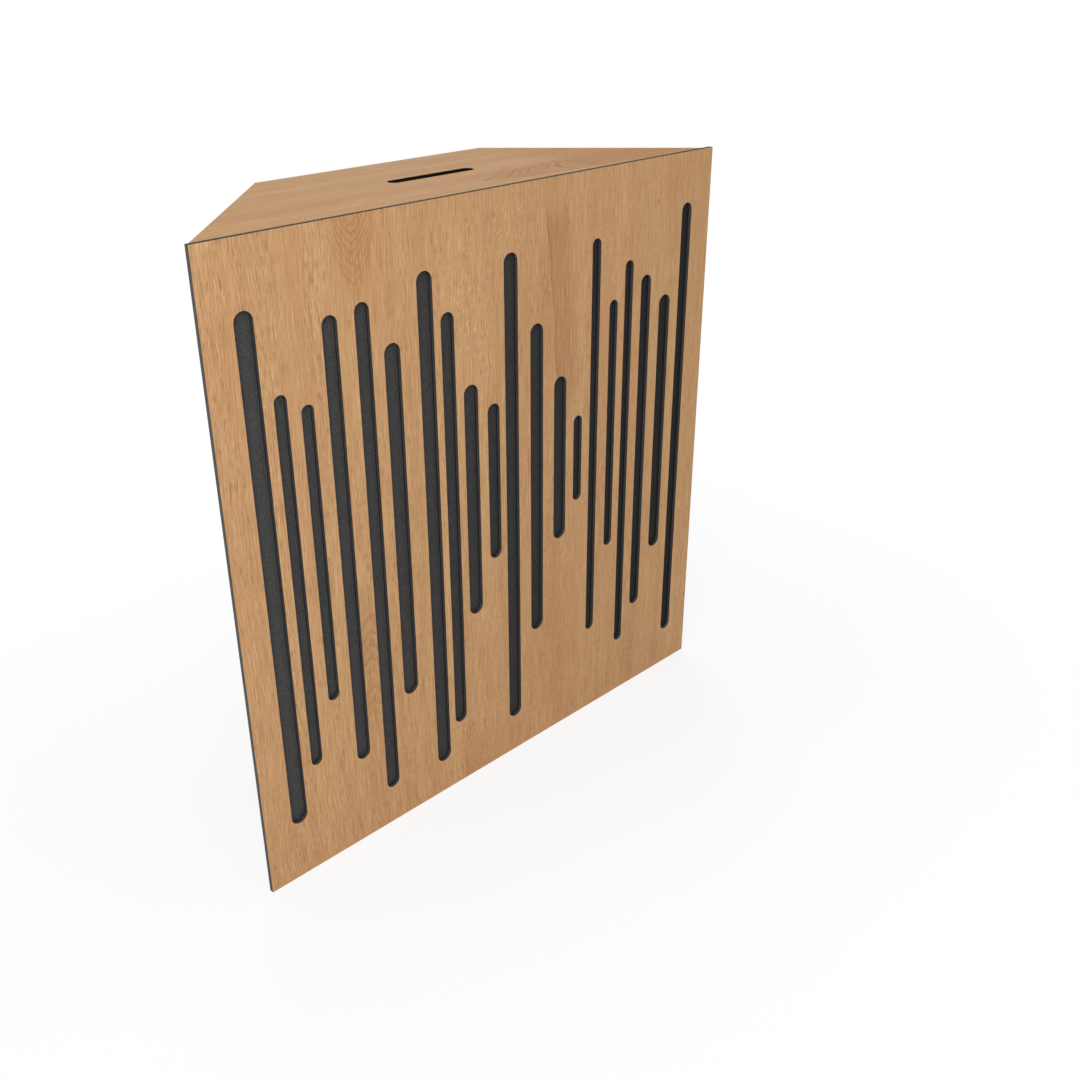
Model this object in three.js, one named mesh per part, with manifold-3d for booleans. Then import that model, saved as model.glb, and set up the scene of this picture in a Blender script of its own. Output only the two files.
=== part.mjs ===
// Corner bass trap: a shallow cabinet with a square slotted front and two side walls at 45 degrees,
// so that it fits into the corner of a room. Each side wall has two undercut grooves to hang it by.
// Millimetres, +Z up. The front faces -Y, the origin is under the middle of the object at its base.

import * as THREE from 'three';
import { mergeVertices } from 'three/addons/utils/BufferGeometryUtils.js';
import Module from 'manifold-3d';

const wasm = await Module();
wasm.setup();

// Overall sizes
const PANEL_WIDTH = 595;
const PANEL_HEIGHT = 595;
const TOTAL_DEPTH = 169;
const WALL_ANGLE = Math.PI / 4; // between a side wall and the front panel
const JOINT_GAP = 0.3; // glue line or fitting clearance between two pieces
const OVERRUN = 5; // how far a cut runs past the piece that it cuts

// Front panel
const PANEL_THICKNESS = 4.6;
const PANEL_OVERHANG = 1.2; // the panel stands proud of the cabinet all round
const NARROW_SLOT = 12;
const MEDIUM_SLOT = 15;
const WIDE_SLOT = 17;
const ARC_SEGMENTS = 12; // in each half-round slot end

// Each slot: its centre as a share of the panel's width from the left, its lower and upper end
// as shares of the panel's height from the bottom, and the width of the cutter.
const SLOT_SHARES = [
  [0.062, 0.101, 0.908, WIDE_SLOT],
  [0.103, 0.190, 0.787, NARROW_SLOT],
  [0.144, 0.289, 0.763, NARROW_SLOT],
  [0.190, 0.155, 0.876, MEDIUM_SLOT],
  [0.244, 0.069, 0.883, MEDIUM_SLOT],
  [0.292, 0.230, 0.815, WIDE_SLOT],
  [0.355, 0.062, 0.905, WIDE_SLOT],
  [0.395, 0.123, 0.838, MEDIUM_SLOT],
  [0.437, 0.319, 0.717, WIDE_SLOT],
  [0.483, 0.406, 0.675, MEDIUM_SLOT],
  [0.523, 0.071, 0.902, WIDE_SLOT],
  [0.578, 0.229, 0.782, WIDE_SLOT],
  [0.632, 0.389, 0.682, WIDE_SLOT],
  [0.675, 0.448, 0.603, NARROW_SLOT],
  [0.714, 0.171, 0.892, NARROW_SLOT],
  [0.758, 0.330, 0.784, NARROW_SLOT],
  [0.795, 0.112, 0.843, NARROW_SLOT],
  [0.839, 0.175, 0.811, MEDIUM_SLOT],
  [0.890, 0.280, 0.767, WIDE_SLOT],
  [0.939, 0.076, 0.916, MEDIUM_SLOT],
];

// Cabinet boards: side walls, top and bottom
const BOARD_THICKNESS = 12.5;
const LIP_THICKNESS = 4.3; // what the rebate leaves of the top and bottom boards over the walls
const DADO_DEPTH = 4; // of the housings for the thin panels in the top and bottom boards

// Hanging grooves, milled along the whole side wall
const GROOVE_FROM_END = 52.3; // groove centre to the cabinet's top or bottom
const RECESS_HEIGHT = 46;
const RECESS_DEPTH = 2;
const RECESS_SLOPE = 1.2; // height of the sloped edge of the recess
const GROOVE_MOUTH = 17;
const GROOVE_FLOOR = 30;
const GROOVE_DEPTH = 8.5; // from the wall's outer face

// Thin panels housed in the boards
const THIN_PANEL = 3;
const THIN_PANEL_COVER = 7.8; // wall left outside a thin panel's rear corner, before the grooves
const INNER_PANEL_SETBACK = 25.1; // front face of the object to the inner panel's rear face
const BACK_PANEL_RECESS = 5.6; // rear of the cabinet to the back panel's rear face

// Hand slot in the top board, with the pocket below it
const HAND_SLOT_LENGTH = 98;
const HAND_SLOT_WIDTH = 13;
const HAND_SLOT_SETBACK = 87.3; // front face of the object to the slot's centre line
const POCKET_LENGTH = 150;
const POCKET_DEPTH = 62;
const POCKET_SKIN = 1.5;

// Absorbers
const FELT_THICKNESS = 2;
const CAVITY_SLABS = 3;
const POCKET_SLAB = 1; // index of the slab that lies under the hand slot

const FRONT = -TOTAL_DEPTH / 2;
const REAR = TOTAL_DEPTH / 2;
const PANEL_BACK = FRONT + PANEL_THICKNESS;
const CABINET_FRONT = PANEL_BACK + JOINT_GAP;
const CABINET_DEPTH = REAR - CABINET_FRONT;
const CABINET_BOTTOM = PANEL_OVERHANG;
const CABINET_TOP = PANEL_HEIGHT - PANEL_OVERHANG;
const INSIDE_BOTTOM = CABINET_BOTTOM + BOARD_THICKNESS;
const INSIDE_TOP = CABINET_TOP - BOARD_THICKNESS;
const INNER_PANEL_REAR = FRONT + INNER_PANEL_SETBACK;
const BACK_PANEL_REAR = REAR - BACK_PANEL_RECESS;
const HAND_SLOT_Y = FRONT + HAND_SLOT_SETBACK;
const CAVITY_FRONT = INNER_PANEL_REAR + JOINT_GAP;
const CAVITY_REAR = BACK_PANEL_REAR - THIN_PANEL - JOINT_GAP;
const SLAB_PITCH = (CAVITY_REAR - CAVITY_FRONT + JOINT_GAP) / CAVITY_SLABS;
const FILLING_TOP = INSIDE_TOP - JOINT_GAP;

// Half the cabinet's width at y, measured to a plane that lies the given distance inside
// the outer face of the side wall
function halfWidth(y, inside) {
  const narrowing = (y - CABINET_FRONT) / Math.tan(WALL_ANGLE);
  return PANEL_WIDTH / 2 - PANEL_OVERHANG - narrowing - inside / Math.sin(WALL_ANGLE);
}

// Outlines

function polygon(points) {
  return new THREE.Shape(points.map(([x, y]) => new THREE.Vector2(x, y)));
}

function rectangle(left, bottom, right, top) {
  return polygon([[left, bottom], [right, bottom], [right, top], [left, top]]);
}

// Plan of what fills the cabinet between two depths, at a distance inside the walls' outer faces
function plan(front, rear, inside) {
  const wide = halfWidth(front, inside);
  const narrow = halfWidth(rear, inside);
  return polygon([[-wide, front], [wide, front], [narrow, rear], [-narrow, rear]]);
}

// A slot with half-round ends, drawn around the centres of its two ends
function slot(outline, [startX, startY], [endX, endY], width) {
  const direction = Math.atan2(endY - startY, endX - startX);
  const quarter = Math.PI / 2;
  outline.absarc(endX, endY, width / 2, direction - quarter, direction + quarter);
  outline.absarc(startX, startY, width / 2, direction + quarter, direction + quarter * 3);
  outline.closePath();
  return outline;
}

// Solids

function extrude(outline, depth) {
  return new THREE.ExtrudeGeometry(outline, { depth, bevelEnabled: false, curveSegments: ARC_SEGMENTS });
}

// A plan outline (x, y) that fills the height between two levels, given in either order
function raised(outline, level, otherLevel) {
  return extrude(outline, Math.abs(otherLevel - level)).translate(0, 0, Math.min(level, otherLevel));
}

// A front outline (x, z) given its thickness from front to rear
function upright(outline, front, rear) {
  return extrude(outline, rear - front).rotateX(Math.PI / 2).translate(0, rear, 0);
}

function toManifold(geometry) {
  const bare = geometry.clone();
  bare.deleteAttribute('normal');
  bare.deleteAttribute('uv');
  const merged = mergeVertices(bare);
  return new wasm.Manifold(new wasm.Mesh({
    numProp: 3,
    vertProperties: new Float32Array(merged.attributes.position.array),
    triVerts: new Uint32Array(merged.index.array),
  }));
}

function toGeometry(manifold) {
  const mesh = manifold.getMesh();
  const geometry = new THREE.BufferGeometry();
  geometry.setAttribute('position', new THREE.BufferAttribute(mesh.vertProperties, 3));
  geometry.setIndex(new THREE.BufferAttribute(mesh.triVerts, 1));
  geometry.computeVertexNormals();
  return geometry;
}

function joined(base, pieces) {
  return toGeometry(pieces.reduce((solid, piece) => solid.add(toManifold(piece)), toManifold(base)));
}

function cut(base, cutters) {
  return toGeometry(cutters.reduce((solid, cutter) => solid.subtract(toManifold(cutter)), toManifold(base)));
}

// Front panel

function frontPanel() {
  const side = PANEL_WIDTH / 2;
  const outline = rectangle(-side, 0, side, PANEL_HEIGHT);
  for (const [centreShare, lowShare, highShare, width] of SLOT_SHARES) {
    const centre = (centreShare - 1 / 2) * PANEL_WIDTH;
    const low = lowShare * PANEL_HEIGHT + width / 2;
    const high = highShare * PANEL_HEIGHT - width / 2;
    outline.holes.push(slot(new THREE.Path(), [centre, low], [centre, high], width));
  }
  return upright(outline, FRONT, PANEL_BACK);
}

// Hanging grooves: a shallow recess with sloped edges, and a dovetail groove in its middle.
// In the profile x points out of the wall, with 0 on its outer face, and y points up.

function grooveProfile() {
  const upper = [
    [OVERRUN, RECESS_HEIGHT / 2],
    [0, RECESS_HEIGHT / 2],
    [-RECESS_DEPTH, RECESS_HEIGHT / 2 - RECESS_SLOPE],
    [-RECESS_DEPTH, GROOVE_MOUTH / 2],
    [-GROOVE_DEPTH, GROOVE_FLOOR / 2],
  ];
  const lower = upper.map(([x, y]) => [x, -y]).reverse();
  return polygon([...upper, ...lower]);
}

function grooveCutter(side, height) {
  const length = CABINET_DEPTH / Math.sin(WALL_ANGLE) + (BOARD_THICKNESS + OVERRUN) * 2;
  const outward = new THREE.Vector3(side * Math.sin(WALL_ANGLE), Math.cos(WALL_ANGLE), 0);
  const up = new THREE.Vector3(0, 0, 1);
  const along = new THREE.Vector3().crossVectors(outward, up);
  const middle = (CABINET_FRONT + REAR) / 2;
  const placed = new THREE.Matrix4().makeBasis(outward, up, along);
  placed.setPosition(side * halfWidth(middle, 0), middle, height);
  return extrude(grooveProfile(), length).translate(0, 0, -length / 2).applyMatrix4(placed);
}

function grooveCutters(sides) {
  const heights = [CABINET_BOTTOM + GROOVE_FROM_END, CABINET_TOP - GROOVE_FROM_END];
  return sides.flatMap((side) => heights.map((height) => grooveCutter(side, height)));
}

// Thin panels, housed in the walls and boards. The grooves were milled with the panels in place,
// so they also trim the panels' corners.

function thinPanelOutline(rear, clearance) {
  const half = halfWidth(rear, THIN_PANEL_COVER) + clearance;
  const reach = DADO_DEPTH - JOINT_GAP + clearance;
  return rectangle(-half, INSIDE_BOTTOM - reach, half, INSIDE_TOP + reach);
}

function thinPanel(rear) {
  return cut(upright(thinPanelOutline(rear, 0), rear - THIN_PANEL, rear), grooveCutters([-1, 1]));
}

function thinPanelHousings() {
  return [INNER_PANEL_REAR, BACK_PANEL_REAR].map((rear) => {
    const outline = thinPanelOutline(rear, JOINT_GAP);
    return upright(outline, rear - THIN_PANEL - JOINT_GAP, rear + JOINT_GAP);
  });
}

// Side walls

function sideWall(side) {
  const outer = [[halfWidth(CABINET_FRONT, 0), CABINET_FRONT], [halfWidth(REAR, 0), REAR]];
  const inner = [
    [halfWidth(REAR, BOARD_THICKNESS), REAR],
    [halfWidth(CABINET_FRONT, BOARD_THICKNESS), CABINET_FRONT],
  ];
  const outline = polygon([...outer, ...inner].map(([x, y]) => [side * x, y]));
  const bottom = CABINET_BOTTOM + LIP_THICKNESS + JOINT_GAP;
  const top = CABINET_TOP - LIP_THICKNESS - JOINT_GAP;
  return cut(raised(outline, bottom, top), [...grooveCutters([side]), ...thinPanelHousings()]);
}

// Top and bottom boards, rebated at both sides so that the walls tuck in under the lip

function rebatedBoard(outside, lip, inside) {
  const body = plan(CABINET_FRONT, REAR, BOARD_THICKNESS + JOINT_GAP);
  return joined(raised(plan(CABINET_FRONT, REAR, 0), outside, lip), [raised(body, outside, inside)]);
}

function bottomBoard() {
  const board = rebatedBoard(CABINET_BOTTOM, CABINET_BOTTOM + LIP_THICKNESS, INSIDE_BOTTOM);
  return cut(board, thinPanelHousings());
}

function topBoard() {
  const board = rebatedBoard(CABINET_TOP, CABINET_TOP - LIP_THICKNESS, INSIDE_TOP);
  const end = (HAND_SLOT_LENGTH - HAND_SLOT_WIDTH) / 2;
  const outline = slot(new THREE.Shape(), [-end, HAND_SLOT_Y], [end, HAND_SLOT_Y], HAND_SLOT_WIDTH);
  const handSlot = raised(outline, INSIDE_TOP - OVERRUN, CABINET_TOP + OVERRUN);
  return cut(board, [...thinPanelHousings(), handSlot]);
}

// Absorbers, cut to the taper of the cabinet

function filling(front, rear) {
  const outline = plan(front, rear, BOARD_THICKNESS + JOINT_GAP);
  return raised(outline, INSIDE_BOTTOM + JOINT_GAP, FILLING_TOP);
}

function frontFelt() {
  return filling(CABINET_FRONT, CABINET_FRONT + FELT_THICKNESS);
}

function frontAbsorber() {
  const front = CABINET_FRONT + FELT_THICKNESS + JOINT_GAP;
  return filling(front, INNER_PANEL_REAR - THIN_PANEL - JOINT_GAP);
}

function slabFront(index) {
  return CAVITY_FRONT + SLAB_PITCH * index;
}

function slabRear(index) {
  return slabFront(index + 1) - JOINT_GAP;
}

// The space of the pocket, which goes right through its slab from front to rear
function pocketSpace(clearance, frontAndRear, top) {
  const half = POCKET_LENGTH / 2 + clearance;
  const front = slabFront(POCKET_SLAB) - frontAndRear;
  const rear = slabRear(POCKET_SLAB) + frontAndRear;
  return raised(rectangle(-half, front, half, rear), FILLING_TOP - POCKET_DEPTH - clearance, top);
}

// A soft pocket under the hand slot: closed below and at its sides, open above
function handlePocket() {
  const inside = pocketSpace(-POCKET_SKIN, -POCKET_SKIN, FILLING_TOP + OVERRUN);
  return cut(pocketSpace(0, 0, FILLING_TOP), [inside]);
}

function cavitySlab(index) {
  const slab = filling(slabFront(index), slabRear(index));
  const notch = pocketSpace(JOINT_GAP, JOINT_GAP / 2, FILLING_TOP + OVERRUN);
  return index === POCKET_SLAB ? cut(slab, [notch]) : slab;
}

// Assembly

const OAK = { color: '#c29b6e', roughness: 0.55 };
const GRAPHITE = { color: '#4b4b4b', roughness: 0.7 };
const FIBREBOARD = { color: '#9b896c', roughness: 0.8 };
const FELT = { color: '#3c3a38', roughness: 0.95 };
const WOOL = { color: '#8d8b80', roughness: 0.95 };
const FLEECE = { color: '#1c1c1c', roughness: 0.95 };

const trap = new THREE.Group();

function addPart(name, geometry, finish) {
  const material = new THREE.MeshStandardMaterial({ ...finish, metalness: 0 });
  const mesh = new THREE.Mesh(geometry, material);
  mesh.name = name;
  trap.add(mesh);
}

addPart('front_panel', frontPanel(), OAK);
addPart('front_felt', frontFelt(), FELT);
addPart('front_absorber', frontAbsorber(), WOOL);
addPart('inner_panel', thinPanel(INNER_PANEL_REAR), FIBREBOARD);
addPart('left_wall', sideWall(-1), GRAPHITE);
addPart('right_wall', sideWall(1), GRAPHITE);
addPart('top_board', topBoard(), OAK);
addPart('bottom_board', bottomBoard(), GRAPHITE);
addPart('back_panel', thinPanel(BACK_PANEL_REAR), FIBREBOARD);
addPart('handle_pocket', handlePocket(), FLEECE);
for (let index = 0; index < CAVITY_SLABS; index += 1) {
  addPart(`cavity_slab_${index + 1}`, cavitySlab(index), WOOL);
}

export default trap;
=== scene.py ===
"""Looks of the corner bass trap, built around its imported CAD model."""

import math
from typing import NamedTuple

import bmesh
import bpy
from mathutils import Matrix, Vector, noise
from mathutils.bvhtree import BVHTree

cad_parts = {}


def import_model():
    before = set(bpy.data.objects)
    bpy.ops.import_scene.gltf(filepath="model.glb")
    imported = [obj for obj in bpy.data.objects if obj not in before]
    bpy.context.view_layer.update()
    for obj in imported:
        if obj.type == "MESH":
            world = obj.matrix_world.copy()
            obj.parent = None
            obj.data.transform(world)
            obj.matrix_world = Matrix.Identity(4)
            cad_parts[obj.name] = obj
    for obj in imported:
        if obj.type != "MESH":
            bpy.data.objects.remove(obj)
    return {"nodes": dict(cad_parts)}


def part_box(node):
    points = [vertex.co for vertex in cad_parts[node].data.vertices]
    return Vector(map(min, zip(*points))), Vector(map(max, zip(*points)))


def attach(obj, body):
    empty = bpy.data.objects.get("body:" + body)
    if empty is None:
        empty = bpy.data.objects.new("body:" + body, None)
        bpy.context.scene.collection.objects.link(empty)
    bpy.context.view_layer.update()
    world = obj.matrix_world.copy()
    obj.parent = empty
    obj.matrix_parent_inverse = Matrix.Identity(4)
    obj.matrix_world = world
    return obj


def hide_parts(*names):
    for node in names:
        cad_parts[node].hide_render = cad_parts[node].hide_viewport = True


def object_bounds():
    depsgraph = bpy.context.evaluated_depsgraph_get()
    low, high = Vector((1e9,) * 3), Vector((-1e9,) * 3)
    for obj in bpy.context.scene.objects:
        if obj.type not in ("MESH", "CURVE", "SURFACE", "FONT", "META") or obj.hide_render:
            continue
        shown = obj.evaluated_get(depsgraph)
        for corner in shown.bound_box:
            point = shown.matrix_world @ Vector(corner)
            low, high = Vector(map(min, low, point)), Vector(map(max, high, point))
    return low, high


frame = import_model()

cad_low, cad_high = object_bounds()
MM = 0.001
DIAGONAL = math.sqrt(0.5)

# Sizes of the CAD model that shading needs and the frame doesn't name
HOUSING = 4.7 * MM  # how deep the thin panels sit in the side walls
GROOVE_DEPTH = 8.5 * MM  # from a side wall's outer face to a groove's floor
HAND_SLOT_MIDDLE = 2.8 * MM  # behind the object's middle
HAND_SLOT_AREA = (55 * MM, 12 * MM)  # half sizes of an area that holds all the hand slot's walls

# A face looks along a direction where this part of its normal does
FACING = 0.9

# Camera of the photograph: place, heading from +Y towards +X, downward tilt and focal length
CAMERA_PLACE = (-0.7211, -0.8538, 0.7927)
CAMERA_HEADING = math.radians(45.09)
CAMERA_TILT = math.radians(26.94)
CAMERA_LENS = 40.2


def srgb(red, green, blue):
    """A screen colour, 0 to 255, as the linear colour that shaders take."""
    return tuple(
        (value / 255 / 12.92) if value <= 10 else ((value / 255 + 0.055) / 1.055) ** 2.4
        for value in (red, green, blue)
    ) + (1.0,)


def outward(side):
    """The direction that a side wall faces. side is -1 for the left wall and 1 for the right one."""
    return Vector((side * DIAGONAL, DIAGONAL, 0))


def outer_face(node, side):
    """How far from the object's middle a side wall's outer face lies, square to the wall."""
    return max(vertex.co.dot(outward(side)) for vertex in frame["nodes"][node].data.vertices)


PANEL_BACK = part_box("front_panel")[1].y
GROOVE_FLOOR = outer_face("right_wall", 1) - GROOVE_DEPTH
BASE_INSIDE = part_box("bottom_board")[1].z
LID_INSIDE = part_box("top_board")[0].z


# Node trees

class Nodes:
    """A node tree, with a short method for each kind of node it needs."""

    def __init__(self, tree):
        self.tree = tree

    def add(self, kind, **settings):
        node = self.tree.nodes.new(kind)
        for key, value in settings.items():
            setattr(node, key, value)
        return node

    def put(self, socket, value):
        if isinstance(value, bpy.types.NodeSocket):
            self.tree.links.new(value, socket)
        else:
            socket.default_value = value

    def feed(self, node, *values):
        """Gives a node its first inputs and returns its first output."""
        for socket, value in zip(node.inputs, values):
            self.put(socket, value)
        return node.outputs[0]

    def math(self, operation, *values):
        return self.feed(self.add("ShaderNodeMath", operation=operation), *values)

    def chain(self, operation, total, *others):
        for other in others:
            total = self.math(operation, total, other)
        return total

    def plus(self, *values):
        return self.chain("ADD", *values)

    def minus(self, value, other):
        return self.math("SUBTRACT", value, other)

    def times(self, *values):
        return self.chain("MULTIPLY", *values)

    def highest(self, *values):
        return self.chain("MAXIMUM", *values)

    def power(self, value, exponent):
        return self.math("POWER", value, exponent)

    def magnitude(self, value):
        return self.math("ABSOLUTE", value)

    def vector(self, x=0.0, y=0.0, z=0.0):
        return self.feed(self.add("ShaderNodeCombineXYZ"), x, y, z)

    def split(self, vector):
        node = self.add("ShaderNodeSeparateXYZ")
        self.put(node.inputs[0], vector)
        return node.outputs

    def turned(self, vector, angle):
        node = self.add("ShaderNodeVectorRotate", rotation_type="Z_AXIS")
        self.put(node.inputs["Vector"], vector)
        node.inputs["Angle"].default_value = angle
        return node.outputs[0]

    def noise(self, vector, scale=1.0, detail=2.0, roughness=0.5, distortion=0.0):
        node = self.add("ShaderNodeTexNoise")
        self.put(node.inputs["Vector"], vector)
        node.inputs["Scale"].default_value = scale
        node.inputs["Detail"].default_value = detail
        node.inputs["Roughness"].default_value = roughness
        node.inputs["Distortion"].default_value = distortion
        return node.outputs[0]

    def drawn(self, vector, scale, offset=(0, 0, 0), detail=2.0, roughness=0.5, distortion=0.0):
        """Noise drawn out along an axis: scale has its repeats per metre on each."""
        node = self.add("ShaderNodeMapping")
        self.put(node.inputs["Vector"], vector)
        node.inputs["Location"].default_value = offset
        node.inputs["Scale"].default_value = scale
        return self.noise(node.outputs[0], 1.0, detail, roughness, distortion)

    def between(self, value, low, high, to_low=0.0, to_high=1.0, smooth=True):
        """Maps low..high to to_low..to_high and holds the ends."""
        interpolation = "SMOOTHSTEP" if smooth else "LINEAR"
        node = self.add("ShaderNodeMapRange", clamp=True, interpolation_type=interpolation)
        return self.feed(node, value, low, high, to_low, to_high)

    def mix(self, factor, first, second):
        """Mixes two colours."""
        node = self.add("ShaderNodeMix", data_type="RGBA")
        self.put(node.inputs[0], factor)
        self.put(node.inputs[6], first)
        self.put(node.inputs[7], second)
        return node.outputs[2]

    def blend(self, factor, first, second):
        """Mixes two shaders."""
        return self.feed(self.add("ShaderNodeMixShader"), factor, first, second)


class Finish(Nodes):
    """The nodes of one material, which take their place from the piece's own coordinates."""

    def __init__(self, name, roughness=0.6, specular=0.5):
        self.material = bpy.data.materials.new(name)
        self.material.use_nodes = True
        super().__init__(self.material.node_tree)
        self.shader = self.tree.nodes["Principled BSDF"]
        self.place = self.add("ShaderNodeTexCoord").outputs["Object"]
        self.set("Roughness", roughness)
        self.set("Specular IOR Level", specular)

    def set(self, name, value):
        self.put(self.shader.inputs[name], value)

    def axes(self):
        return self.split(self.place)

    def vary_roughness(self, factor, middle, swing=0.05):
        self.set("Roughness", self.between(factor, 0.3, 0.7, middle - swing, middle + swing))

    def bump(self, height, distance, strength):
        node = self.add("ShaderNodeBump")
        node.inputs["Strength"].default_value = strength
        node.inputs["Distance"].default_value = distance
        self.put(node.inputs["Height"], height)
        self.set("Normal", node.outputs[0])


# What the oak decor shows besides its grain, in millimetres on the face

class Figure(NamedTuple):
    """Nested arches in the grain, like those of a board sawn beside the heart."""
    middle: float  # across the grain
    apex: float  # along the grain
    opens: int  # 1 where the legs run upwards or to the right from the apex, else -1
    left: float  # half widths on the two sides of the middle
    right: float
    sweep: float  # how far the legs of the first arch run along the grain
    spacing: float
    reach: float  # from the first arch to the last
    lean: float = 1.0  # how much steeper the left leg is
    turn: float = 900  # how far from the apex the arches are straight, to bow the other way beyond
    strength: float = 1.0


class Patch(NamedTuple):
    """A soft oval area."""
    middle: float  # across the grain
    centre: float  # along the grain
    half_width: float
    half_length: float
    strength: float


class Stain(NamedTuple):
    """A darker area with one sharp, slanting side, from its foot to its head."""
    foot_x: float
    foot_z: float
    head_x: float
    head_z: float
    width: float


class Decor(NamedTuple):
    """All that one face shows. Each ray is an angle in radians and the patch that it fills."""
    figures: tuple
    patches: tuple
    stains: tuple
    rays: tuple


FRONT_DECOR = Decor(
    figures=(
        Figure(-156, 536, 1, 32, 25, sweep=70, spacing=8, reach=90),
        Figure(-167, 246, -1, 14, 12, sweep=17, spacing=14, reach=150),
        Figure(-46, 70, -1, 20, 24, sweep=70, spacing=10, reach=90, strength=0.75),
        Figure(192, 92, -1, 20, 16, sweep=60, spacing=9, reach=90, strength=0.8),
        Figure(58, 120, 1, 14, 26, sweep=90, spacing=9, reach=170, strength=0.5),
        Figure(57, 512, -1, 7, 6, sweep=14, spacing=11, reach=32),
    ),
    patches=(
        Patch(-154, 570, 18, 46, 1.0),
        Patch(-276, 500, 16, 70, 0.6),
        Patch(60, 100, 30, 80, 0.8),
        Patch(64, 465, 20, 70, 0.8),
        Patch(-280, 60, 14, 60, 0.2),
        Patch(186, 320, 12, 150, 0.5),
    ),
    stains=(Stain(76, 380, 61, 570, 46),),
    rays=(
        (-0.8, Patch(-38, 505, 28, 75, 0.72)),
        (-0.5, Patch(12, 560, 24, 40, 0.62)),
        (-0.7, Patch(-62, 60, 40, 40, 0.5)),
        (0.4, Patch(150, 520, 30, 60, 0.36)),
    ),
)
LEVEL_DECOR = Decor(
    figures=(
        Figure(-50, 12, 1, 22, 31, sweep=100, spacing=13, reach=210, lean=2.4, turn=150, strength=1.3),
        Figure(-40, -250, 1, 12, 12, sweep=90, spacing=8, reach=150, strength=0.4),
    ),
    patches=(
        Patch(-50, 55, 16, 40, 0.7),
        Patch(-30, 150, 16, 90, 0.4),
        Patch(-10, 240, 90, 120, 1.3),
    ),
    stains=(),
    rays=((1.2, Patch(-10, 90, 30, 60, 0.32)),),
)

# Noises of the grain: repeats per metre across it, along it and between boards, offset, detail and
# roughness
BANDS = ((32, 1.0, 1), (0, 0, 0), 3.0, 0.55)
WARMTH = ((18, 1.8, 1), (4, 2, 0), 2.0, 0.5)
STREAKS = ((260, 6, 1), (1, 5, 0), 4.0, 0.6)
FIBRES = ((1300, 26, 1), (3, 1, 0), 4.0, 0.55)
PORES = ((2300, 95, 1), (7, 3, 0), 1.0, 0.5)
PORE_FIELDS = ((110, 3, 1), (2, 8, 0), 3.0, 0.5)
SWAY = ((8, 5, 1), (0, 0, 0), 3.0, 0.5)
FINE_SWAY = ((60, 16, 1), (0, 0, 0), 2.0, 0.5)
RAY_FLECKS = ((130, 1100, 1), (0, 0, 0), 1.0, 0.5)
LIVELY_SPAN = 250 * MM  # the grain gets calmer from this far left to this far right of the middle

OAK = {
    "dark band": srgb(192, 148, 103),
    "pale band": srgb(203, 160, 113),
    "warm": srgb(193, 142, 102),
    "dark streak": srgb(178, 132, 88),
    "pale streak": srgb(216, 174, 126),
    "stain": srgb(160, 113, 81),
    "patch": srgb(190, 137, 90),
    "dark fibre": srgb(166, 120, 78),
    "pale fibre": srgb(226, 184, 138),
    "pore": srgb(146, 100, 64),
    "arch": srgb(156, 110, 66),
    "ray": srgb(230, 194, 150),
}


def swaying(nodes, flat, drift, distance):
    """A slow sideways shift of the grain."""
    return nodes.times(nodes.minus(nodes.drawn(flat, *drift), 0.5), distance)


def figure(nodes, across, along, arch):
    """The factor of one growth figure: rings that darken slowly and end sharply."""
    roundness, sharpness = 1.45, 1.8  # powers of the arches' outline and of each ring's darkening
    jaggedness, wandering = 0.8, 1.6  # in rings
    start_fade = 5 * MM
    side = nodes.minus(across, arch.middle * MM)
    climb = nodes.times(nodes.minus(along, arch.apex * MM), float(arch.opens))
    outwards = nodes.times(nodes.magnitude(side), 1 / (max(arch.left, arch.right) * MM))
    bow = nodes.times(nodes.power(outwards, roundness), nodes.between(side, -MM, MM, arch.lean, 1.0))
    sweep = arch.sweep * MM
    flatter = nodes.between(climb, 0.0, 2 * arch.turn * MM, sweep, -sweep, smooth=False)
    level = nodes.minus(climb, nodes.times(bow, flatter))

    flat = nodes.vector(across, along)
    jagged = nodes.times(nodes.drawn(flat, (380, 90, 1)), jaggedness)
    wander = nodes.times(nodes.noise(flat, 38.0), wandering)
    ring = nodes.plus(nodes.times(level, 1 / (arch.spacing * MM)), nodes.plus(jagged, wander))
    tooth = nodes.power(nodes.math("FRACT", ring), sharpness)
    growth = nodes.noise(nodes.vector(ring, arch.middle * 0.37), 0.9, 1.0)
    line = nodes.times(tooth, nodes.between(growth, 0.35, 0.6, 0.5, 1.0))

    left, right, reach = arch.left * MM, arch.right * MM, arch.reach * MM
    on_left = nodes.between(side, -left, -left * 0.5)
    on_right = nodes.between(side, right * 0.6, right, 1.0, 0.0)
    start = nodes.between(level, -start_fade, start_fade)
    end = nodes.between(level, reach * 0.5, reach, 1.0, 0.0)
    return nodes.times(on_left, on_right, nodes.times(start, end), line, arch.strength)


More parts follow.
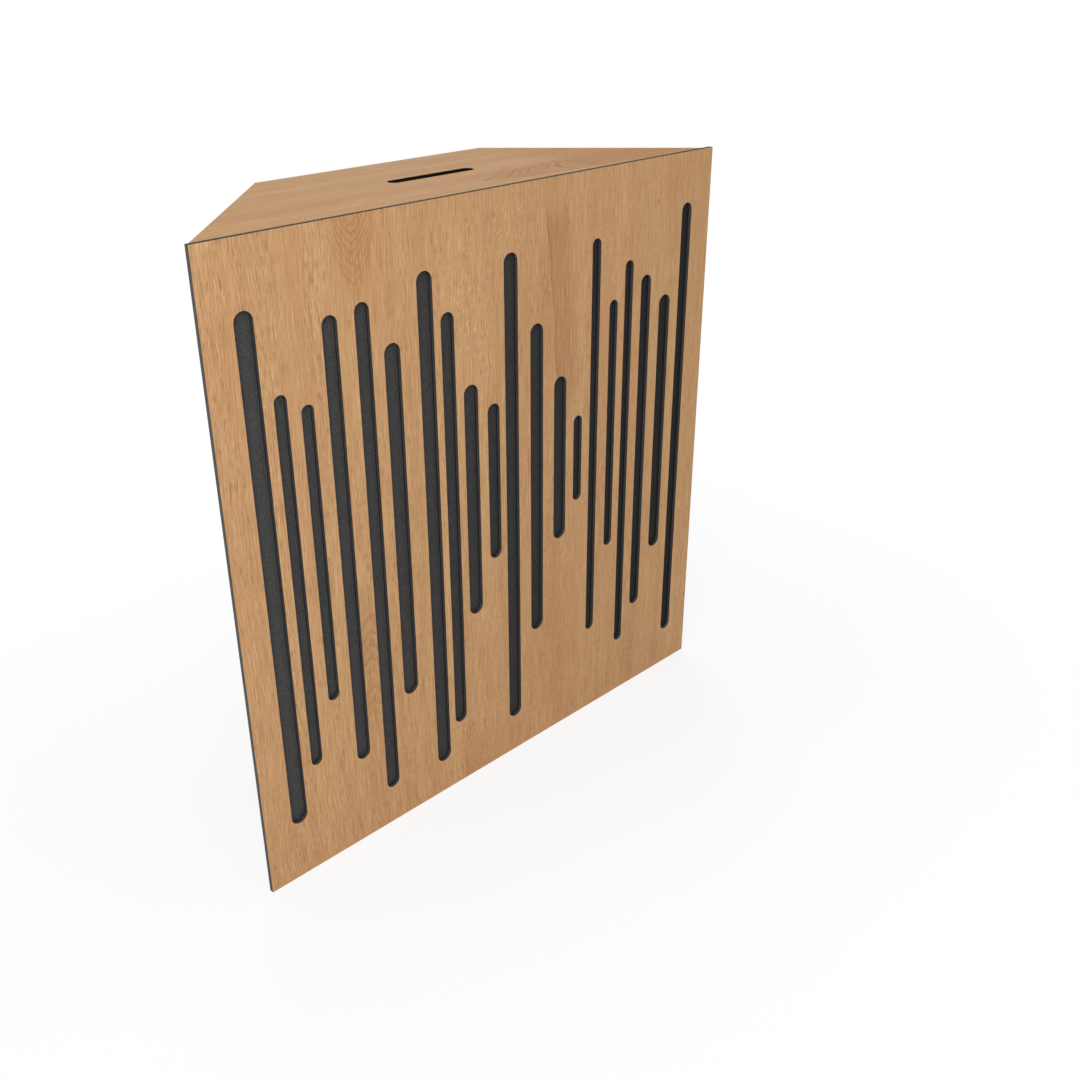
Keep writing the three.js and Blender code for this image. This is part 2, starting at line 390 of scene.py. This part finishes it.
def stain(nodes, across, along, area):
    """The factor of a stain, whose sharp side is a thin wavy line with a darker rim."""
    end_fade, head_overrun, sway = 25 * MM, 10 * MM, 7 * MM
    rim_start, rim_end, body_start, rim_fade = 2 * MM, 3 * MM, 4 * MM, 6 * MM
    foot, head, width = area.foot_z * MM, area.head_z * MM, area.width * MM
    slope = (area.head_x - area.foot_x) / (area.head_z - area.foot_z)
    edge = nodes.times(nodes.minus(along, foot), slope)
    wave = nodes.times(nodes.noise(nodes.vector(across, along), 50.0), sway)
    side = nodes.plus(nodes.minus(nodes.minus(across, edge), area.foot_x * MM), wave)
    height = nodes.times(nodes.between(along, foot - end_fade, foot + end_fade),
                         nodes.between(along, head - end_fade, head + head_overrun, 1.0, 0.0))
    body = nodes.times(nodes.between(side, rim_start, body_start),
                       nodes.between(side, 0.3 * width, width, 0.5, 0.0))
    rim = nodes.times(nodes.between(side, rim_start, rim_end),
                      nodes.between(side, rim_end, rim_fade, 0.75, 0.0))
    return nodes.times(nodes.plus(body, rim), height)


def patch(nodes, across, along, area):
    """The factor of a soft oval area. The half sizes give the oval on which distance is 1."""
    fade_start, fade_end = 0.2, 1.4  # squares of the distance
    width = nodes.times(nodes.minus(across, area.middle * MM), 1 / (area.half_width * MM))
    length = nodes.times(nodes.minus(along, area.centre * MM), 1 / (area.half_length * MM))
    distance = nodes.plus(nodes.power(width, 2.0), nodes.power(length, 2.0))
    return nodes.between(distance, fade_start, fade_end, area.strength, 0.0)


def oak(name, decor, across_axis, along_axis, shift, contrast, roughness, specular):
    """Matte oak decor: slow bands, growth figures, fibres, pores and light rays.

    shift moves to another board's grain. The grain is livelier on the left than on the right.
    """
    nodes = Finish(name, specular=specular)
    axes = nodes.axes()
    across, along = axes[across_axis], axes[along_axis]
    flat = nodes.vector(across, along, shift)
    slow_sway = swaying(nodes, flat, SWAY, 20 * MM)
    fine_sway = swaying(nodes, flat, FINE_SWAY, 0.7 * MM)
    bent = nodes.plus(across, slow_sway, fine_sway)
    grain = nodes.vector(bent, along, shift)
    streaks, fibres, pores = (nodes.drawn(grain, *settings) for settings in (STREAKS, FIBRES, PORES))
    lively = nodes.between(across, -LIVELY_SPAN, LIVELY_SPAN, 1.05 * contrast, 0.75 * contrast,
                           smooth=False)

    bands = nodes.between(nodes.drawn(grain, *BANDS), 0.3, 0.7)
    warmth = nodes.between(nodes.drawn(grain, *WARMTH), 0.45, 0.75, 0.0, 0.55)
    colour = nodes.mix(warmth, nodes.mix(bands, OAK["dark band"], OAK["pale band"]), OAK["warm"])
    dark_streaks = nodes.times(nodes.between(streaks, 0.45, 0.7, 0.0, 0.2), lively)
    pale_streaks = nodes.times(nodes.between(streaks, 0.48, 0.28, 0.0, 0.16), lively)
    colour = nodes.mix(dark_streaks, colour, OAK["dark streak"])
    colour = nodes.mix(pale_streaks, colour, OAK["pale streak"])
    for area in decor.stains:
        colour = nodes.mix(stain(nodes, bent, along, area), colour, OAK["stain"])
    patches = nodes.highest(*(patch(nodes, bent, along, area) for area in decor.patches))
    colour = nodes.mix(nodes.times(patches, 0.5), colour, OAK["patch"])

    dark_fibres = nodes.times(nodes.between(fibres, 0.47, 0.64, 0.0, 0.55), lively)
    pale_fibres = nodes.times(nodes.between(fibres, 0.47, 0.32, 0.0, 0.5), lively)
    colour = nodes.mix(dark_fibres, colour, OAK["dark fibre"])
    colour = nodes.mix(pale_fibres, colour, OAK["pale fibre"])
    fields = nodes.between(nodes.drawn(grain, *PORE_FIELDS), 0.4, 0.62, 0.45, 1.0)
    open_pores = nodes.times(nodes.between(pores, 0.55, 0.62), fields)
    colour = nodes.mix(nodes.times(open_pores, 0.65, lively), colour, OAK["pore"])

    arches = nodes.highest(*(figure(nodes, bent, along, arch) for arch in decor.figures))
    ragged = nodes.times(arches, nodes.between(pores, 0.35, 0.6, 0.6, 1.0))
    colour = nodes.mix(nodes.times(ragged, 0.8), colour, OAK["arch"])
    for angle, area in decor.rays:
        flecks = nodes.between(nodes.drawn(nodes.turned(flat, angle), *RAY_FLECKS), 0.63, 0.69)
        colour = nodes.mix(nodes.times(flecks, patch(nodes, across, along, area)), colour, OAK["ray"])
    nodes.set("Base Color", colour)
    nodes.vary_roughness(fibres, roughness)
    nodes.bump(nodes.minus(nodes.times(fibres, 0.35), open_pores), 0.08 * MM, 0.6)
    return nodes.material


def clouded(name, dark, light, size, roughness, fleck):
    """A flat laminate or liner with faint clouds of the given size and a fine even grain."""
    nodes = Finish(name, specular=0.4)
    clouds = nodes.noise(nodes.place, 1 / size, 4.0, 0.6)
    grain = nodes.noise(nodes.place, 1400.0, 2.0, 0.6)
    colour = nodes.mix(nodes.between(clouds, 0.32, 0.68), srgb(*dark), srgb(*light))
    colour = nodes.mix(nodes.between(grain, 0.35, 0.7, 0.0, fleck), colour, srgb(*dark))
    nodes.set("Base Color", colour)
    nodes.vary_roughness(clouds, roughness)
    nodes.bump(grain, 0.04 * MM, 0.5)
    return nodes.material


# Tool marks of a cut across the board and of one along a groove, as repeats per metre on each axis
CUT = (60, 60, 900)
ROUTED = (12, 12, 900)


def milled(name, dark, light, marks, changes=None):
    """Bare black fibreboard: pressed fibres, with faint tool marks along the cut.

    changes is an axis, a far colour and the places between which the colour turns into it.
    """
    nodes = Finish(name, roughness=0.85, specular=0.08)
    fibres = nodes.noise(nodes.place, 1600.0, 3.0, 0.6)
    traces = nodes.drawn(nodes.place, marks, detail=3.0, roughness=0.6)
    colour = nodes.mix(nodes.between(fibres, 0.3, 0.7), srgb(*dark), srgb(*light))
    colour = nodes.mix(nodes.between(traces, 0.4, 0.75, 0.0, 0.4), colour, srgb(*dark))
    if changes:
        axis, far, start, end = changes
        colour = nodes.mix(nodes.between(nodes.axes()[axis], start, end), colour, srgb(*far))
    nodes.set("Base Color", colour)
    nodes.bump(nodes.plus(fibres, nodes.times(traces, 0.5)), 0.05 * MM, 0.4)
    return nodes.material


def hardboard(name, half_width):
    """Smooth side of raw thin fibreboard: tan, with pressed fibres and slow blotches.

    It has painted shade beside the walls round it, under the top board and on its trimmed corners, and a
    dark line along the joint below it.
    """
    wall_shade, lid_shade = 9 * MM, 30 * MM  # how far the painted shade of the boards round it reaches
    joint_start, joint_end = 0.9 * MM, 1.4 * MM  # above the bottom board
    trim_start, trim_end = 0.335 * MM, 0.135 * MM  # inside the groove's floor
    nodes = Finish(name, roughness=0.68, specular=0.3)
    blotches = nodes.noise(nodes.place, 14.0, 3.0, 0.55)
    tint = nodes.drawn(nodes.place, (9, 9, 5), (3, 1, 2))
    fibres = nodes.drawn(nodes.place, (420, 420, 300), detail=5.0, roughness=0.7)
    threads = nodes.drawn(nodes.place, (140, 140, 900))
    colour = nodes.mix(nodes.between(blotches, 0.3, 0.7), srgb(156, 135, 106), srgb(167, 146, 116))
    colour = nodes.mix(nodes.between(tint, 0.4, 0.7, 0.0, 0.6), colour, srgb(161, 138, 111))
    colour = nodes.mix(nodes.between(fibres, 0.4, 0.75, 0.0, 0.24), colour, srgb(132, 112, 84))
    colour = nodes.mix(nodes.between(threads, 0.62, 0.75, 0.0, 0.2), colour, srgb(182, 164, 134))

    x, y, z = nodes.axes()
    # Painted shade beside the walls, under the top board and on the trimmed corners in the grooves, and
    # a dark line just above the bottom board
    aside = nodes.magnitude(x)
    beside = nodes.between(aside, half_width - wall_shade, half_width, 0.0, 0.6, smooth=False)
    painted_lid_shade = nodes.between(z, LID_INSIDE - lid_shade, LID_INSIDE, 0.0, 0.14)
    joint = nodes.between(z, BASE_INSIDE + joint_start, BASE_INSIDE + joint_end, 0.85, 0.0)
    out = nodes.times(nodes.plus(aside, y), DIAGONAL)
    painted_trim_shade = nodes.between(out, GROOVE_FLOOR - trim_start, GROOVE_FLOOR - trim_end, 0.0, 0.55)
    colour = nodes.mix(nodes.highest(beside, painted_lid_shade, joint, painted_trim_shade), colour, srgb(38, 31, 24))
    nodes.set("Base Color", colour)
    nodes.bump(fibres, 0.08 * MM, 0.5)
    return nodes.material


def fibrous(name, dark, middle, light, size, depth, sheen, shade_to_right=0.0):
    """Felt, fleece or wool: a tangle of curled fibres over a darker ground.

    size is that of the tangle, depth that of its relief. The last argument paints shade that darkens the
    right end of the front.
    """
    nodes = Finish(name, roughness=0.95, specular=0.15)
    nodes.set("Sheen Weight", sheen)
    nodes.set("Sheen Roughness", 0.5)
    clumps = nodes.noise(nodes.place, 1 / (size * 7), 3.0, 0.55)
    tangle = nodes.noise(nodes.place, 1 / size, 4.0, 0.65, 1.2)
    hairs = nodes.drawn(nodes.place, (1 / size, 1 / size, 0.3 / size), (4, 4, 4), distortion=2.5)
    hair = nodes.between(nodes.magnitude(nodes.minus(hairs, 0.5)), 0.0, 0.035, 1.0, 0.0)
    colour = nodes.mix(nodes.between(tangle, 0.3, 0.7), srgb(*dark), srgb(*middle))
    colour = nodes.mix(nodes.between(clumps, 0.4, 0.7, 0.0, 0.3), colour, srgb(*dark))
    colour = nodes.mix(nodes.times(hair, 0.35), colour, srgb(*light))
    # Painted shade: darker towards the right end of the front
    painted_shade_to_right = nodes.between(nodes.axes()[0], cad_low.x, cad_high.x, 0.0, shade_to_right)
    nodes.set("Base Color", nodes.mix(painted_shade_to_right, colour, srgb(30, 30, 30)))
    nodes.bump(nodes.plus(tangle, nodes.times(hair, 0.4)), depth, 0.8)
    return nodes.material


# Finishes: across the front the grain runs upwards, on the level boards from side to side
FRONT_OAK = oak("front_oak", FRONT_DECOR, 0, 2, shift=0.0, contrast=1.0, roughness=0.6, specular=0.2)
LID_OAK = oak("top_oak", LEVEL_DECOR, 1, 0, shift=3.7, contrast=0.52, roughness=0.75, specular=0.06)
BASE_OAK = oak("base_oak", LEVEL_DECOR, 1, 0, shift=8.2, contrast=0.52, roughness=0.75, specular=0.06)
BLACK_BOARD = ((45, 45, 45), (58, 58, 57))
CORE = milled("black_core", *BLACK_BOARD, CUT)
LID_EDGE = milled("lid_edge", *BLACK_BOARD, CUT,
                  (2, (205, 205, 201), LID_INSIDE + 0.5 * MM, LID_INSIDE + 0.3 * MM))
PANEL_EDGE = milled("panel_edge", (78, 77, 75), (95, 94, 91), CUT)
# The slot walls get a painted shadow line where they meet the felt behind the panel
SLOT_CORE = milled("slot_core", (60, 60, 60), (76, 76, 75), CUT,
                   (1, (26, 26, 26), PANEL_BACK - 1.4 * MM, PANEL_BACK - 0.7 * MM))
HAND_SLOT_CORE = milled("hand_slot_core", (15, 15, 15), (26, 26, 26), CUT)
GROOVE = milled("milled_groove", (50, 50, 50), (58, 58, 58), ROUTED)
# The groove floor is a darker copy of the groove's board as painted shade, with painted light towards
# its open rear end
DEEP_GROOVE = milled("groove_floor", (34, 34, 34), (41, 41, 41), ROUTED,
                     (1, (58, 58, 58), cad_high.y - 8 * MM, cad_high.y - 1.5 * MM))
GRAPHITE = clouded("graphite_laminate", (54, 54, 54), (62, 62, 62),
                   size=26 * MM, roughness=0.6, fleck=0.25)
BLACK_LINER = clouded("black_liner", (16, 16, 16), (24, 24, 24), size=50 * MM, roughness=0.6, fleck=0.2)
WHITE_LINER = clouded("white_liner", (246, 246, 244), (252, 252, 251),
                      size=80 * MM, roughness=0.5, fleck=0.1)
# The felt gets painted shade towards the right end of the front
FELT = fibrous("dark_felt", (57, 56, 56), (84, 83, 82), (108, 106, 106),
               size=1.6 * MM, depth=0.3 * MM, sheen=0.02, shade_to_right=0.82)
FLEECE = fibrous("black_fleece", (12, 12, 12), (22, 22, 22), (38, 38, 38),
                 size=1.0 * MM, depth=0.3 * MM, sheen=0.2)
WOOL = fibrous("absorber_wool", (112, 110, 98), (146, 143, 130), (180, 177, 164),
               size=2.0 * MM, depth=1.0 * MM, sheen=0.1)


# Pieces

def add_object(name, shape, finishes):
    """A smooth object from a bmesh, whose faces already have the numbers of their finishes."""
    mesh = bpy.data.meshes.new(name)
    for face in shape.faces:
        face.smooth = True
    shape.to_mesh(mesh)
    shape.free()
    for finish in finishes:
        mesh.materials.append(finish)
    made = bpy.data.objects.new(name, mesh)
    bpy.context.scene.collection.objects.link(made)
    return made


def add_piece(name, shape, finishes, slot, *nodes):
    """A piece of the trap, which never moves. It replaces CAD nodes. slot is not used."""
    piece = add_object(name, shape, finishes)
    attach(piece, "root")
    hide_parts(*nodes)
    return piece


def bridge(shape, first, second):
    """Faces between two rows of points."""
    for step in range(len(first) - 1):
        shape.faces.new((first[step], first[step + 1], second[step + 1], second[step]))


def board(name, node, slot, finish_of, eased=None):
    """A board with softened edges. finish_of takes a face's normal and middle, and gives its finish.

    The softened edges take the finish eased, or else that of the faces beside them.
    """
    softening = 0.3 * MM
    flat, crisp, sharp = math.radians(0.5), math.radians(40), math.radians(50)
    shape = bmesh.new()
    shape.from_mesh(frame["nodes"][node].data)
    bmesh.ops.remove_doubles(shape, verts=shape.verts, dist=0.001 * MM)
    bmesh.ops.dissolve_limit(shape, angle_limit=flat, verts=shape.verts, edges=shape.edges)
    shape.normal_update()
    finishes = [eased] if eased else []
    for face in shape.faces:
        finish = finish_of(face.normal, face.calc_center_median())
        if finish not in finishes:
            finishes.append(finish)
        face.material_index = finishes.index(finish)
    outer_edges = [edge for edge in shape.edges
                   if len(edge.link_faces) == 2 and edge.calc_face_angle_signed() > crisp]
    bmesh.ops.bevel(shape, geom=outer_edges, offset=softening, segments=2, profile=0.5, affect="EDGES",
                    clamp_overlap=True, material=0 if eased else -1)
    for edge in shape.edges:
        edge.smooth = len(edge.link_faces) == 2 and edge.calc_face_angle() < sharp
    piece = add_piece(name, shape, finishes, slot, node)
    weighted = piece.modifiers.new("even_shading", "WEIGHTED_NORMAL")
    weighted.weight = 100
    weighted.keep_sharp = True


def front_finish(normal, centre):
    """Oak in front, white liner behind, bare board round the edges and in the slots."""
    if normal.y < -FACING:
        return FRONT_OAK
    if normal.y > FACING:
        return WHITE_LINER
    if abs(centre.x) > cad_high.x - MM:
        return PANEL_EDGE
    if cad_low.z + MM < centre.z < cad_high.z - MM:
        return SLOT_CORE
    return CORE


def wall_finish(side, node):
    """Picks the finish of a side wall's face from how deep it lies below the outer laminate."""
    laminate, recess = 0.5 * MM, 5 * MM
    outer = outer_face(node, side)

    def pick(normal, centre):
        facing = normal.dot(outward(side))
        depth = outer - centre.dot(outward(side))
        if facing < -FACING:
            return BLACK_LINER
        if facing <= FACING:
            sloping = 0.3 < abs(normal.z) < 0.95
            return GROOVE if sloping else CORE
        if depth < laminate:
            return GRAPHITE
        return GROOVE if depth < recess else DEEP_GROOVE

    return pick


def level_finish(up, inside, outer, edge):
    """Picks oak for the outside, white for the inside, and bare board for edges and rebates.

    up is 1 for the top board, whose hand slot has almost black walls, and -1 for the bottom board.
    inside is the height of the inner face, outer and edge the finishes of the board itself.
    """
    def pick(normal, centre):
        if normal.z * up > FACING:
            return outer
        if normal.z * up < -FACING:
            return WHITE_LINER if abs(centre.z - inside) < MM else edge
        place = (abs(centre.x), abs(centre.y - HAND_SLOT_MIDDLE))
        by_hand_slot = all(value < limit for value, limit in zip(place, HAND_SLOT_AREA))
        return HAND_SLOT_CORE if up > 0 and by_hand_slot else edge

    return pick


def rigid_boards():
    """The five boards, and the two thin panels, which are the CAD model's own."""
    board("slotted_front", "front_panel", "oak_panel", front_finish)
    for side, word in ((-1, "left"), (1, "right")):
        wall = f"{word}_wall"
        board(f"{word}_side_board", wall, "graphite_board", wall_finish(side, wall))
    board("top_lid", "top_board", "oak_board", level_finish(1, LID_INSIDE, LID_OAK, LID_EDGE), LID_EDGE)
    board("base_plate", "bottom_board", "oak_board", level_finish(-1, BASE_INSIDE, BASE_OAK, CORE), CORE)
    for node in ("back_panel", "inner_panel"):
        shown_half_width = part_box(node)[1].x - HOUSING * math.sqrt(2)
        materials = frame["nodes"][node].data.materials
        materials.clear()
        materials.append(hardboard(f"tan_{node}", shown_half_width))


def felt_columns(low, high):
    """Where the felt has its upright rows of points: four steps across each slot, none between."""
    margin, steps = 2.2 * MM, 4
    panel = frame["nodes"]["front_panel"].data
    walls = sorted({round(face.center.x, 5) for face in panel.polygons
                    if abs(face.normal.x) > 0.99 and abs(face.center.x) < cad_high.x - MM})
    columns = [low.x + margin]
    for left, right in zip(walls[::2], walls[1::2]):
        columns += [left + (right - left) * step / steps for step in range(steps + 1)]
    return columns + [high.x - margin]


def felt_sheet():
    """The felt behind the slots: stretched, and swelling a little in each slot."""
    rows = 95
    front_gap, back_gap = 0.6 * MM, 0.2 * MM
    unevenness, waves = 0.12 * MM, 45  # height of its waves, and their number per metre
    swelling, swelling_share = 0.25 * MM, 0.04  # at most, and per metre from the slot's wall
    low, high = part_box("front_felt")
    panel = frame["nodes"]["front_panel"].data
    panel_middle = (cad_low.y + PANEL_BACK) / 2
    surface = BVHTree.FromPolygons([vertex.co for vertex in panel.vertices],
                                   [tuple(face.vertices) for face in panel.polygons])
    columns = felt_columns(low, high)
    heights = [low.z + (high.z - low.z) * row / (rows - 1) for row in range(rows)]

    def front_y(x, z):
        wave = noise.noise(Vector((x * waves, 7.0, z * waves))) * unevenness
        _, normal, _, distance = surface.find_nearest(Vector((x, panel_middle, z)))
        to_slot_wall = distance if abs(normal.y) < 0.5 else 0.0
        return low.y + front_gap + wave - min(swelling, to_slot_wall * swelling_share)

    shape = bmesh.new()
    front = [[shape.verts.new((x, front_y(x, z), z)) for x in columns] for z in heights]
    back = [[shape.verts.new((x, high.y - back_gap, z)) for x in columns] for z in heights]
    for layer in (front, back):
        for lower, upper in zip(layer, layer[1:]):
            bridge(shape, lower, upper)
    bridge(shape, [row[0] for row in front], [row[0] for row in back])
    bridge(shape, [row[-1] for row in back], [row[-1] for row in front])
    bridge(shape, back[0], front[0])
    bridge(shape, front[-1], back[-1])
    bmesh.ops.recalc_face_normals(shape, faces=shape.faces)
    piece = add_piece("felt_sheet", shape, [FELT], "dark_felt", "front_felt")


def batt(name, node, voxel, seed):
    """A fibrous slab with soft edges and a lumpy surface, inside the space of its CAD solid."""
    inset, lumps, tufts = 1.0, 0.6, 0.3  # millimetres
    lump_rate, tuft_rate = 38, 160  # per metre
    source = bpy.data.objects.new(name + "_source", frame["nodes"][node].data.copy())
    bpy.context.scene.collection.objects.link(source)
    remesh = source.modifiers.new("remesh", "REMESH")
    remesh.mode = "VOXEL"
    remesh.voxel_size = voxel
    smooth = source.modifiers.new("smooth", "SMOOTH")
    smooth.factor = 0.5
    smooth.iterations = 2
    bpy.context.view_layer.update()
    evaluated = source.evaluated_get(bpy.context.evaluated_depsgraph_get())
    shape = bmesh.new()
    shape.from_mesh(evaluated.to_mesh())
    bpy.data.objects.remove(source)
    low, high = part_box(node)
    normals = [vertex.normal.copy() for vertex in shape.verts]
    for vertex, normal in zip(shape.verts, normals):
        lump = noise.noise(vertex.co * lump_rate + Vector((seed, 0, 0))) * lumps
        tuft = noise.noise(vertex.co * tuft_rate + Vector((0, seed, 0))) * tufts
        vertex.co -= normal * (inset + lump + tuft) * MM
        for axis in range(3):
            vertex.co[axis] = min(max(vertex.co[axis], low[axis]), high[axis])
    add_piece(name, shape, [WOOL], "absorber_wool", node)


def fleece_pocket():
    """A soft black bag under the hand slot, which keeps fingers off the absorber."""
    around, levels = 72, 22
    end_roundness, side_roundness, bottom_roundness = 0.35, 0.5, 2.6
    fold_depth, folds_across, folds_down = 2.2 * MM, 60, 40  # folds per metre
    waist, narrowest = 0.06, 0.02  # shares of the bag's half sizes
    low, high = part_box("handle_pocket")
    centre = (low + high) / 2
    half_x, half_y = (high.x - low.x) / 2 - MM, (high.y - low.y) / 2 - MM
    shape = bmesh.new()
    rings = []
    for level in range(levels):
        share = level / (levels - 1)
        drop = math.sin(min(1.0, share / 0.8) * math.pi / 2)
        closing = max(0.0, (share - 0.7) / 0.3)
        shrink = max(math.sqrt(max(0.0, 1 - closing ** bottom_roundness)), narrowest)
        z = high.z - (high.z - low.z - MM) * (drop * 0.9 + share * 0.1)
        pinch = waist * math.sin(math.pi * min(1.0, share * 1.3)) * half_y
        ring = []
        for step in range(around):
            angle = 2 * math.pi * step / around
            cosine, sine = math.cos(angle), math.sin(angle)
            x = half_x * math.copysign(abs(cosine) ** end_roundness, cosine)
            y = half_y * math.copysign(abs(sine) ** side_roundness, sine)
            spot = Vector((x * folds_across, y * folds_across, z * folds_down))
            fold = noise.noise(spot) * fold_depth * math.sin(math.pi * share)
            y -= math.copysign(pinch + max(0.0, fold), sine)
            ring.append(shape.verts.new((centre.x + x * shrink, centre.y + y * shrink, z)))
        rings.append(ring + ring[:1])
    for upper, lower in zip(rings, rings[1:]):
        bridge(shape, upper, lower)
    shape.faces.new(rings[-1][:-1])
    bmesh.ops.recalc_face_normals(shape, faces=shape.faces)
    piece = add_piece("fleece_pocket", shape, [FLEECE], "black_fleece", "handle_pocket")
    skin = piece.modifiers.new("skin", "SOLIDIFY")
    skin.thickness = 1.5 * MM
    skin.offset = -1.0


# Stage: white floor, soft light and the photograph's camera

def floor():
    """A pale floor with the object's shadow. The camera sees it fade to white around the object."""
    radius, fade_length, white_at_object = 40.0, 0.55, 0.78
    shape = bmesh.new()
    bmesh.ops.create_circle(shape, cap_ends=True, segments=96, radius=radius)
    nodes = Finish("pale_floor", roughness=0.9, specular=0.1)
    camera_ray = nodes.add("ShaderNodeLightPath").outputs["Is Camera Ray"]
    nodes.set("Base Color", nodes.mix(camera_ray, (0.84, 0.84, 0.84, 1), (0.97, 0.97, 0.97, 1)))
    x, y, _ = nodes.axes()
    beside = [nodes.highest(nodes.minus(nodes.magnitude(axis), half), 0.0)
              for axis, half in ((x, cad_high.x), (y, cad_high.y))]
    distance = nodes.math("SQRT", nodes.plus(nodes.power(beside[0], 2.0), nodes.power(beside[1], 2.0)))
    white = nodes.add("ShaderNodeEmission").outputs[0]
    fading = nodes.times(nodes.between(distance, 0.0, fade_length, white_at_object, 1.0), camera_ray)
    surface = nodes.blend(fading, nodes.shader.outputs[0], white)
    nodes.put(nodes.tree.nodes["Material Output"].inputs["Surface"], surface)
    add_object("floor", shape, [nodes.material])


def world(level, overhead):
    """Soft light from all round, stronger from overhead.

    The camera, mirrors and glass see plain white instead.
    """
    surroundings = bpy.data.worlds.new("studio")
    bpy.context.scene.world = surroundings
    surroundings.use_nodes = True
    nodes = Nodes(surroundings.node_tree)
    height = nodes.split(nodes.add("ShaderNodeTexCoord").outputs["Generated"])[2]
    strength = nodes.between(height, 0.0, 1.0, level, level + overhead, smooth=False)
    light = nodes.feed(nodes.tree.nodes["Background"], (1, 1, 1, 1), strength)
    seen = nodes.feed(nodes.add("ShaderNodeBackground"), (1, 1, 1, 1), 1.0)
    rays = nodes.add("ShaderNodeLightPath").outputs
    direct = nodes.highest(rays["Is Camera Ray"], rays["Is Glossy Ray"], rays["Is Transmission Ray"])
    nodes.put(nodes.tree.nodes["World Output"].inputs["Surface"], nodes.blend(direct, light, seen))


def softbox(name, place, size, power):
    """A round lamp of the given diameter and watts, aimed at the object's middle."""
    aim = Vector((0, 0, 0.3))
    data = bpy.data.lights.new(name, "AREA")
    data.shape = "DISK"
    data.size = size
    data.energy = power
    lamp = bpy.data.objects.new(name, data)
    lamp.location = place
    lamp.rotation_euler = (aim - Vector(place)).to_track_quat("-Z", "Y").to_euler()
    bpy.context.scene.collection.objects.link(lamp)


def camera():
    data = bpy.data.cameras.new("camera")
    data.lens = CAMERA_LENS
    data.sensor_width = 36.0
    eye = bpy.data.objects.new("camera", data)
    eye.location = CAMERA_PLACE
    eye.rotation_euler = (math.pi / 2 - CAMERA_TILT, 0, -CAMERA_HEADING)
    bpy.context.scene.collection.objects.link(eye)
    bpy.context.scene.camera = eye


rigid_boards()
felt_sheet()
batt("front_batt", "front_absorber", voxel=7 * MM, seed=3.0)
for index in (1, 2, 3):
    batt(f"cavity_batt_{index}", f"cavity_slab_{index}", voxel=10 * MM, seed=10.0 * index)
fleece_pocket()

floor()
world(level=0.3, overhead=0.3)
softbox("key", (-1.35, -1.35, 1.45), size=1.25, power=30)
softbox("rim", (1.5, 2.1, 0.9), size=1.6, power=31)
camera()
bpy.context.scene.view_settings.view_transform = "Standard"
